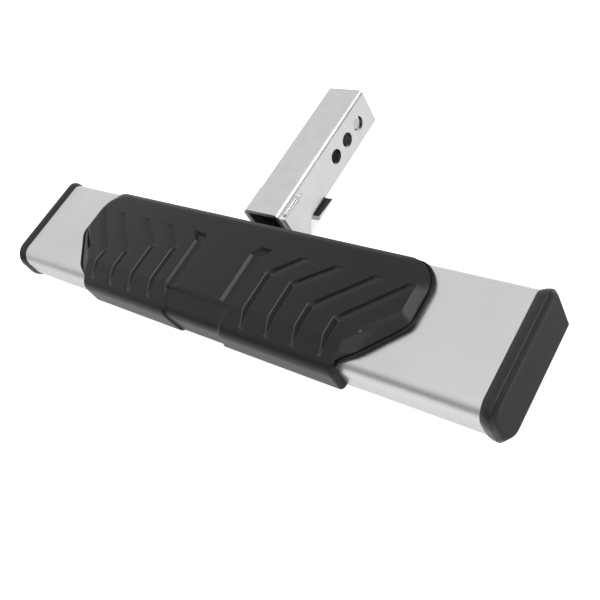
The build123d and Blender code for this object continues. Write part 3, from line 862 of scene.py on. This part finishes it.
def edge_depth(x, y, z, upright, sheet):
    """Depth at the outline: a rim, a narrow groove inside it, and a bevel up to the tread."""
    inside = np.maximum(outline_distance(x, y), 0.0)
    groove_wall = np.minimum(inside - (RIM - RIM_GROOVE), RIM - inside)
    rim = sheet + rounded_edge(inside, RIM_ROUND) + RIM_GROOVE_DEPTH * ramp(groove_wall, *GROOVE_WALL)
    share = bevel_share(x, y)
    at_rear = ease(PAD_HALF - x - PAD_REAR + y, *REAR_TURN)
    past_step = REAR_STEP + (1 - REAR_STEP) * (share - REAR_STEP_END) / (1 - REAR_STEP_END)
    step_up = np.where(share < REAR_STEP_END, share * REAR_STEP / REAR_STEP_END, past_step)
    share = share + at_rear * (step_up - share) * (share > 0)
    bevel = smooth_max((z - FLOOR_Z - TREAD * share) / upright, 0.0, BEVEL_SOFT)
    edge = bevel + (rim - bevel) * ramp(RIM + JOIN_START - JOIN_REAR * at_rear - inside, 0.0, JOIN_WIDTH)
    flap = np.maximum(z - FLOOR_Z, 0) / upright + rounded_edge(FLAP_HALF - x, FLAP_ROUND)
    on_flap = (x < FLAP_HALF + SLACK) & (z < FLOOR_Z + FLAP_BAND) & (sheet < TREAD - SLACK)
    return np.where(on_flap, np.minimum(edge, flap), edge)


plan_y = np.broadcast_to(rim_y[:, None], grid_x.shape)
edges = edge_depth(grid_x, plan_y, grid_z, grid_upright, sheet_depth[:, None])
print("deepest edge, mm:", edges.max().round(2))

# %% Tread pad: the deepest of them
features = np.maximum(np.maximum(sunk, chevrons), np.maximum(ledges, edges))
to_tube = np.broadcast_to(tube_depth[:, None], column_x.shape)
foot = rounded_edge(grid_z - PAD_BOTTOM, FOOT_RADIUS)
surface_depth = np.minimum(features + foot, to_tube - LEAST_SHEET)
print("deepest point of the flat top, mm:", surface_depth[row_y > FOLD_Y].max().round(1))

# %% [markdown]
# ### The pad's mesh
# The depths become points, and the points become a closed sheet, because a moulding is solid. Two
# numbers on each point then tell the finish where the deep grooves and their edges are. They come from
# the same formula as the shape, so the tones can't slide off it.

# %% Tread pad: the mesh
def add_piece(name, points, faces, sharp, material):
    """A smooth mesh object from points in millimetres; edges past an angle, in degrees, stay sharp."""
    mesh = bpy.data.meshes.new(name)
    mesh.from_pydata((points * MM).tolist(), [], faces)
    mesh.shade_smooth()
    mesh.set_sharp_from_angle(angle=math.radians(sharp))
    mesh.materials.append(material)
    piece = bpy.data.objects.new(name, mesh)
    bpy.context.scene.collection.objects.link(piece)
    print(name, "faces:", len(faces))
    return piece


def closed_sheet(skin, under):
    """Points and faces of a closed sheet: the skin's grid, walls down its edges, strips underneath.

    skin and under hold points by row and column; under is used only along the edges, where the
    skin's edge meets what carries it.
    """
    rows, cols = skin.shape[:2]
    top = np.arange(rows * cols).reshape(rows, cols)
    ring = np.full((rows, cols), -1)
    on_edge = np.zeros((rows, cols), bool)
    on_edge[[0, -1], :] = True
    on_edge[:, [0, -1]] = True
    ring[on_edge] = rows * cols + np.arange(on_edge.sum())
    points = np.concatenate([skin.reshape(-1, 3), under[on_edge]])

    def band(upper, lower):
        return np.stack([upper[:-1], upper[1:], lower[1:], lower[:-1]], axis=1)

    grid = np.stack([top[:-1, :-1], top[1:, :-1], top[1:, 1:], top[:-1, 1:]], axis=2).reshape(-1, 4)
    walls = [
        band(top[0], ring[0]),
        band(top[-1, ::-1], ring[-1, ::-1]),
        band(top[:, -1], ring[:, -1]),
        band(top[::-1, 0], ring[::-1, 0]),
    ]
    strips = np.stack([ring[1:-2, 0], ring[1:-2, -1], ring[2:-1, -1], ring[2:-1, 0]], axis=1)
    faces = np.concatenate([grid, *walls, strips]).tolist()
    faces.append([*ring[0], ring[1, -1], ring[1, 0]])
    faces.append([ring[-2, 0], ring[-2, -1], *ring[-1, ::-1]])
    return points, faces


def pad_points(depth):
    """Points at a depth inwards from the skin: (x, y + depth sin aim, z - depth cos aim)."""
    y, z = grid_y + depth * np.sin(grid_aim), grid_z - depth * np.cos(grid_aim)
    return np.stack([column_x, y, z], axis=2)


pad_sheet = closed_sheet(pad_points(surface_depth), pad_points(to_tube))
tread_pad = add_piece("tread_pad", *pad_sheet, 50, rubber)
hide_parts("step_pad")
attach(tread_pad, "root")


# %% Tread pad: marks for its painted groove light and edge highlight
PAINTED_LIGHT_DEPTHS = (0.3, 2.2)                # depths over which the painted light in the groove floors comes in
PAINTED_HIGHLIGHT_WIDTH = 1.1                        # the painted highlight is this wide, in depth, on both sides of each groove's edge


def mark_points(piece, name, values):
    """Stores a number on each point of a mesh; points past the given values get 0."""
    numbers = np.zeros(len(piece.data.vertices), np.float32)
    numbers[:values.size] = values.ravel()
    piece.data.attributes.new(name, "FLOAT", "POINT").data.foreach_set("value", numbers)
    print(name, "marks, points above a half:", int((numbers > 0.5).sum()))


in_groove = straight_arms(grid_x, grid_y, grid_z, grid_upright)
# painted light in the groove floors, and a painted highlight along the grooves' edges
mark_points(tread_pad, "painted_groove_light", ramp(in_groove, *PAINTED_LIGHT_DEPTHS))
mark_points(tread_pad, "painted_edge_highlight", ramp(np.abs(in_groove), PAINTED_HIGHLIGHT_WIDTH, 0.0) * (grid_z > FLOOR_Z))

# %% [markdown]
# ## The end caps
# Each cap is moulded plastic: it leaves the tube flush, swells to a lip that a boot can't catch on,
# and turns in a bevel to a flat face. One profile gives its reach along the step and how far it
# stands out from the tube's section; swept round that section it closes on the face. The corners of
# the section grow and shrink with the profile, as the corners of nested rounded boxes do.

# %% End caps: profile and section
CAP_SIDES = [   # reach from the tube's end, and height over the tube, in millimetres
    (13.0, -4.8), (-25.0, -4.8), (-25.0, -2.3), (0.0, -2.3), (0.0, -0.2), (0.1, 0.0), (1.0, 0.55),
    (2.2, 1.15), (3.5, 1.65), (5.0, 2.15), (6.6, 2.55), (8.2, 2.8), (9.6, 2.93), (10.3, 2.98),
]
CAP_LOWER_END = [
    (10.8, 2.9), (11.2, 2.65), (11.7, 2.2), (13.0, 0.95), (15.0, -1.0), (17.0, -3.0),
    (17.6, -3.6), (18.05, -4.2), (18.3, -4.9), (18.42, -5.7), (18.48, -6.6), (18.5, -7.6),
]
CAP_BLEND = 7.6     # the lower end's shape holds this far up the tube, and the upper end's as far down
CAP_UPPER_END = [
    (10.7, 2.85), (11.0, 2.55), (11.5, 2.05), (12.5, 1.05), (13.3, 0.25), (13.75, -0.25),
    (14.05, -0.7), (14.25, -1.1), (14.38, -1.6), (14.45, -2.1), (14.48, -2.6), (14.5, -3.2),
]


def section_points(grown, steps=12):
    """Points round the tube's section grown by a height: four arcs about the corners' own centres."""
    corners = (
        (TUBE_REAR, TUBE_TOP, TUBE_RADII["rear_top"], -1, -1, 0.0),
        (TUBE_FRONT, TUBE_TOP, TUBE_RADII["front_top"], 1, -1, 0.5),
        (TUBE_FRONT, TUBE_BOTTOM, TUBE_RADII["front_bottom"], 1, 1, 1.0),
        (TUBE_REAR, TUBE_BOTTOM, TUBE_RADII["rear_bottom"], -1, 1, 1.5),
    )
    points = []
    for y, z, radius, inward_y, inward_z, start in corners:
        turn = np.pi * np.linspace(start, start + 0.5, steps)
        reach = np.maximum(radius + grown, 0.4)
        inset = reach - grown
        points.append(np.stack([
            y + inward_y * inset + reach * np.cos(turn),
            z + inward_z * inset + reach * np.sin(turn),
        ], axis=1))
    return np.concatenate(points)


def cap_rings(side, profile):
    """The profile swept round the section: rings at side (tube's end + reach), grown by the height."""
    reaches, heights = np.array(profile).T
    sections = np.stack([section_points(height) for height in heights])
    x = np.broadcast_to(side * (tube_high[0] + reaches)[:, None, None], sections[:, :, :1].shape)
    return np.concatenate([x, sections], axis=2)


def end_cap(name, side):
    """A closed cap: rings for its lower and its upper end, blended by height, and a face at each end."""
    lower, upper = (cap_rings(side, CAP_SIDES + end) for end in (CAP_LOWER_END, CAP_UPPER_END))
    rings = lower + (upper - lower) * ramp(lower[:, :, 2:], TUBE_BOTTOM + CAP_BLEND, TUBE_TOP - CAP_BLEND)
    index = np.arange(rings[:, :, 0].size).reshape(rings.shape[:2])
    following = np.roll(index, -1, axis=1)
    quads = np.stack([index[:-1], following[:-1], following[1:], index[1:]], axis=2).reshape(-1, 4)
    faces = [*quads.tolist(), index[-1].tolist(), index[0, ::-1].tolist()]
    if side < 0:
        faces = [face[::-1] for face in faces]
    return add_piece(name, rings.reshape(-1, 3), faces, 40, plastic)


for name, side in (("end_cap_left", -1), ("end_cap_right", 1)):
    moulded = end_cap("moulded_" + name, side)
    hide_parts(name)
    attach(moulded, "root")

# %% [markdown]
# ## The weld beads
# A fillet weld is laid as a row of small puddles, each of which freezes over the one before, so the
# bead is a quarter round with ripples. It is a surface of two parameters: the turn round the corner
# that it fills, and the way along it. The ripples only take metal away, so each bead stays inside the
# plain fillet of the CAD model.

# %% Weld beads
RIPPLE, RIPPLE_DEPTH = 3.0, 0.07     # millimetres from one puddle to the next, and a share of the leg
BEAD_ROWS, BEAD_TURNS = 160, 11
BEAD_END, BEAD_LEAST = 3.0, 0.04     # each end swells over this length, from the root of this share


def bead(corner, leg, start, end, out_x, out_z):
    """Points of a bead: corner + leg ripple(y) (out_x cos t, out_z sin t), with the corner itself."""
    along = np.linspace(start, end, BEAD_ROWS)[:, None]
    turn = np.linspace(0, np.pi / 2, BEAD_TURNS)[None, :]
    puddle = np.mod(along - start + 0.5 * RIPPLE * np.sin(2 * turn), RIPPLE) / RIPPLE
    ends = np.sqrt(np.clip(np.minimum(along - start, end - along) / BEAD_END, BEAD_LEAST, 1.0))
    reach = leg * ends * (1 - RIPPLE_DEPTH + RIPPLE_DEPTH * np.sin(np.pi * puddle))
    arc = np.stack([
        corner[0] + out_x * reach * np.cos(turn),
        along + 0 * turn,
        corner[1] + out_z * reach * np.sin(turn),
    ], axis=2)
    root = along[:, :, None] * [0, 1, 0] + [corner[0], 0.0, corner[1]]
    return np.concatenate([arc, root], axis=1)


def bead_faces(first, rows, cols, flip):
    """Quads round and along a bead, and a face at each end."""
    index = first + np.arange(rows * cols).reshape(rows, cols)
    following = np.roll(index, -1, axis=1)
    quads = np.stack([index[:-1], index[1:], following[1:], following[:-1]], axis=2).reshape(-1, 4)
    faces = [*quads.tolist(), index[0].tolist(), index[-1, ::-1].tolist()]
    return [face[::-1] for face in faces] if flip else faces


def weld_pair(name, out_z):
    """The two mirrored beads that take the place of a CAD node."""
    low, high = (np.array(corner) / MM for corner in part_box(name))
    leg = high[2] - low[2]
    corner = (high[0] - leg, low[2] if out_z > 0 else high[2])
    right = bead(corner, leg, low[1], high[1], 1, out_z)
    points = np.concatenate([right.reshape(-1, 3), (right * [-1, 1, 1]).reshape(-1, 3)])
    rows, cols = right.shape[:2]
    faces = bead_faces(0, rows, cols, out_z < 0) + bead_faces(rows * cols, rows, cols, out_z > 0)
    beads = add_piece("beads_" + name, points, faces, 60, zinc)
    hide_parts(name)
    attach(beads, "root")


weld_pair("shank_welds", 1)
weld_pair("mount_welds", -1)

# %% [markdown]
# ## The studio
# The step was photographed on white paper under large soft lamps. White paper could be had from more
# light, but that would bleach the steel, so the paper glows a little for the camera alone and still
# takes the shadow. It is one-sided, so that the step can be looked at from below. Metal shows what is
# round it: the world is white for reflections, and a grey wall on the camera's side gives the dark
# band along the tube's nose. The largest lamp is hidden from reflections; a side lamp and a small front
# lamp pick out the pad's edges.

# %% Floor
FLOOR_SIZE = 6.0
GLOW, MIRRORED_GLOW = 0.60, 0.31     # the paper's own light, to the camera and in reflections
scene = bpy.context.scene
scene.view_settings.view_transform = "Standard"


def add_stage(name, points, faces, material):
    """A backdrop from points in metres."""
    mesh = bpy.data.meshes.new(name)
    mesh.from_pydata(points.tolist(), [], faces.tolist())
    mesh.materials.append(material)
    made = bpy.data.objects.new(name, mesh)
    scene.collection.objects.link(made)
    print(name, "lowest z, m:", round(float(points[:, 2].min()), 3))
    return made


def white_paper():
    """Pale paper that glows a little for the camera, and that can be seen through from below."""
    paper = Finish("white_paper", Base_Color=grey(0.8), Roughness=0.9, Specular_IOR_Level=0.0)
    paper.shader.inputs["Emission Strength"].default_value = 1.0
    seen, mirrored, through = paper.rays()
    glow = (seen + through) * GLOW + mirrored * MIRRORED_GLOW
    paper.set(Emission_Color=paper.blend(glow, grey(0.0), grey(1.0)))
    sheet = Field(paper.tree, paper.shader.outputs[0])
    from_below = paper.node("ShaderNodeNewGeometry", output="Backfacing")
    clear = paper.node("ShaderNodeBsdfTransparent")
    one_sided = paper.node("ShaderNodeMixShader", None, {0: from_below, 1: sheet, 2: clear})
    paper.feed(paper.tree.nodes["Material Output"].inputs["Surface"], one_sided)
    return paper.material


corners = np.array([[-1, -1, 0], [1, -1, 0], [1, 1, 0], [-1, 1, 0]]) * FLOOR_SIZE
corners[:, 2] = cad_box[0].z
add_stage("floor", corners, np.array([[0, 1, 2, 3]]), white_paper())

# %% World
FILL = 0.5     # light on matt surfaces; the camera and reflections see full white

scene.world = bpy.data.worlds.new("studio")
scene.world.use_nodes = True
sky = Graph(scene.world.node_tree)
sky.tree.nodes.remove(sky.tree.nodes["Background"])
seen, mirrored, through = sky.rays()
white, fill = (
    sky.node("ShaderNodeBackground", None, {"Color": grey(1.0), "Strength": strength})
    for strength in (1.0, FILL)
)
lit = sky.node("ShaderNodeMixShader", None, {0: seen + mirrored + through, 1: fill, 2: white})
sky.feed(sky.tree.nodes["World Output"].inputs["Surface"], lit)
print("world nodes:", len(sky.tree.nodes))

# %% Lamps and wall
LAMP_AIM = Vector((0.0, -0.2, 0.0))


def softbox(name, place, width, height, watts):
    """A rectangular lamp, in metres, that faces the step."""
    lamp = bpy.data.lights.new(name, "AREA")
    lamp.shape = "RECTANGLE"
    lamp.size, lamp.size_y = width, height
    lamp.energy = watts
    made = bpy.data.objects.new(name, lamp)
    made.location = place
    made.rotation_euler = (LAMP_AIM - Vector(place)).to_track_quat("-Z", "Y").to_euler()
    scene.collection.objects.link(made)
    print(name, "watts:", watts)
    return made


top_lamp = softbox("top_softbox", (0.5, -0.9, 1.9), width=1.6, height=1.6, watts=20.0)
top_lamp.visible_glossy = False
softbox("side_softbox", (1.86, 0.77, 2.06), width=1.0, height=0.8, watts=29.0)
softbox("front_softbox", (0.41, -0.87, 1.5), width=0.35, height=0.35, watts=2.2)

WALL_DISTANCE, WALL_LOW, WALL_HIGH, WALL_GREY = 4.0, 0.1, 2.4, 0.34
WALL_FROM, WALL_TO, WALL_STEPS = -145, 60, 40     # degrees round from the step's right
around = np.radians(np.linspace(WALL_FROM, WALL_TO, WALL_STEPS))
circle = np.stack([np.cos(around), np.sin(around), 0 * around], axis=1) * WALL_DISTANCE
wall_points = np.concatenate([circle + [0, 0, WALL_LOW], circle + [0, 0, WALL_HIGH]])
index = np.arange(len(circle) - 1)
wall_faces = np.stack([index, index + len(circle), index + len(circle) + 1, index + 1], axis=1)
grey_paint = Finish("grey_paint", Base_Color=grey(0.0), Specular_IOR_Level=0.0, Emission_Strength=1.0)
grey_paint.set(Emission_Color=grey(WALL_GREY))
wall = add_stage("studio_wall", wall_points, wall_faces, grey_paint.material)
wall.visible_camera = False
wall.visible_diffuse = False
wall.visible_shadow = False

# %% [markdown]
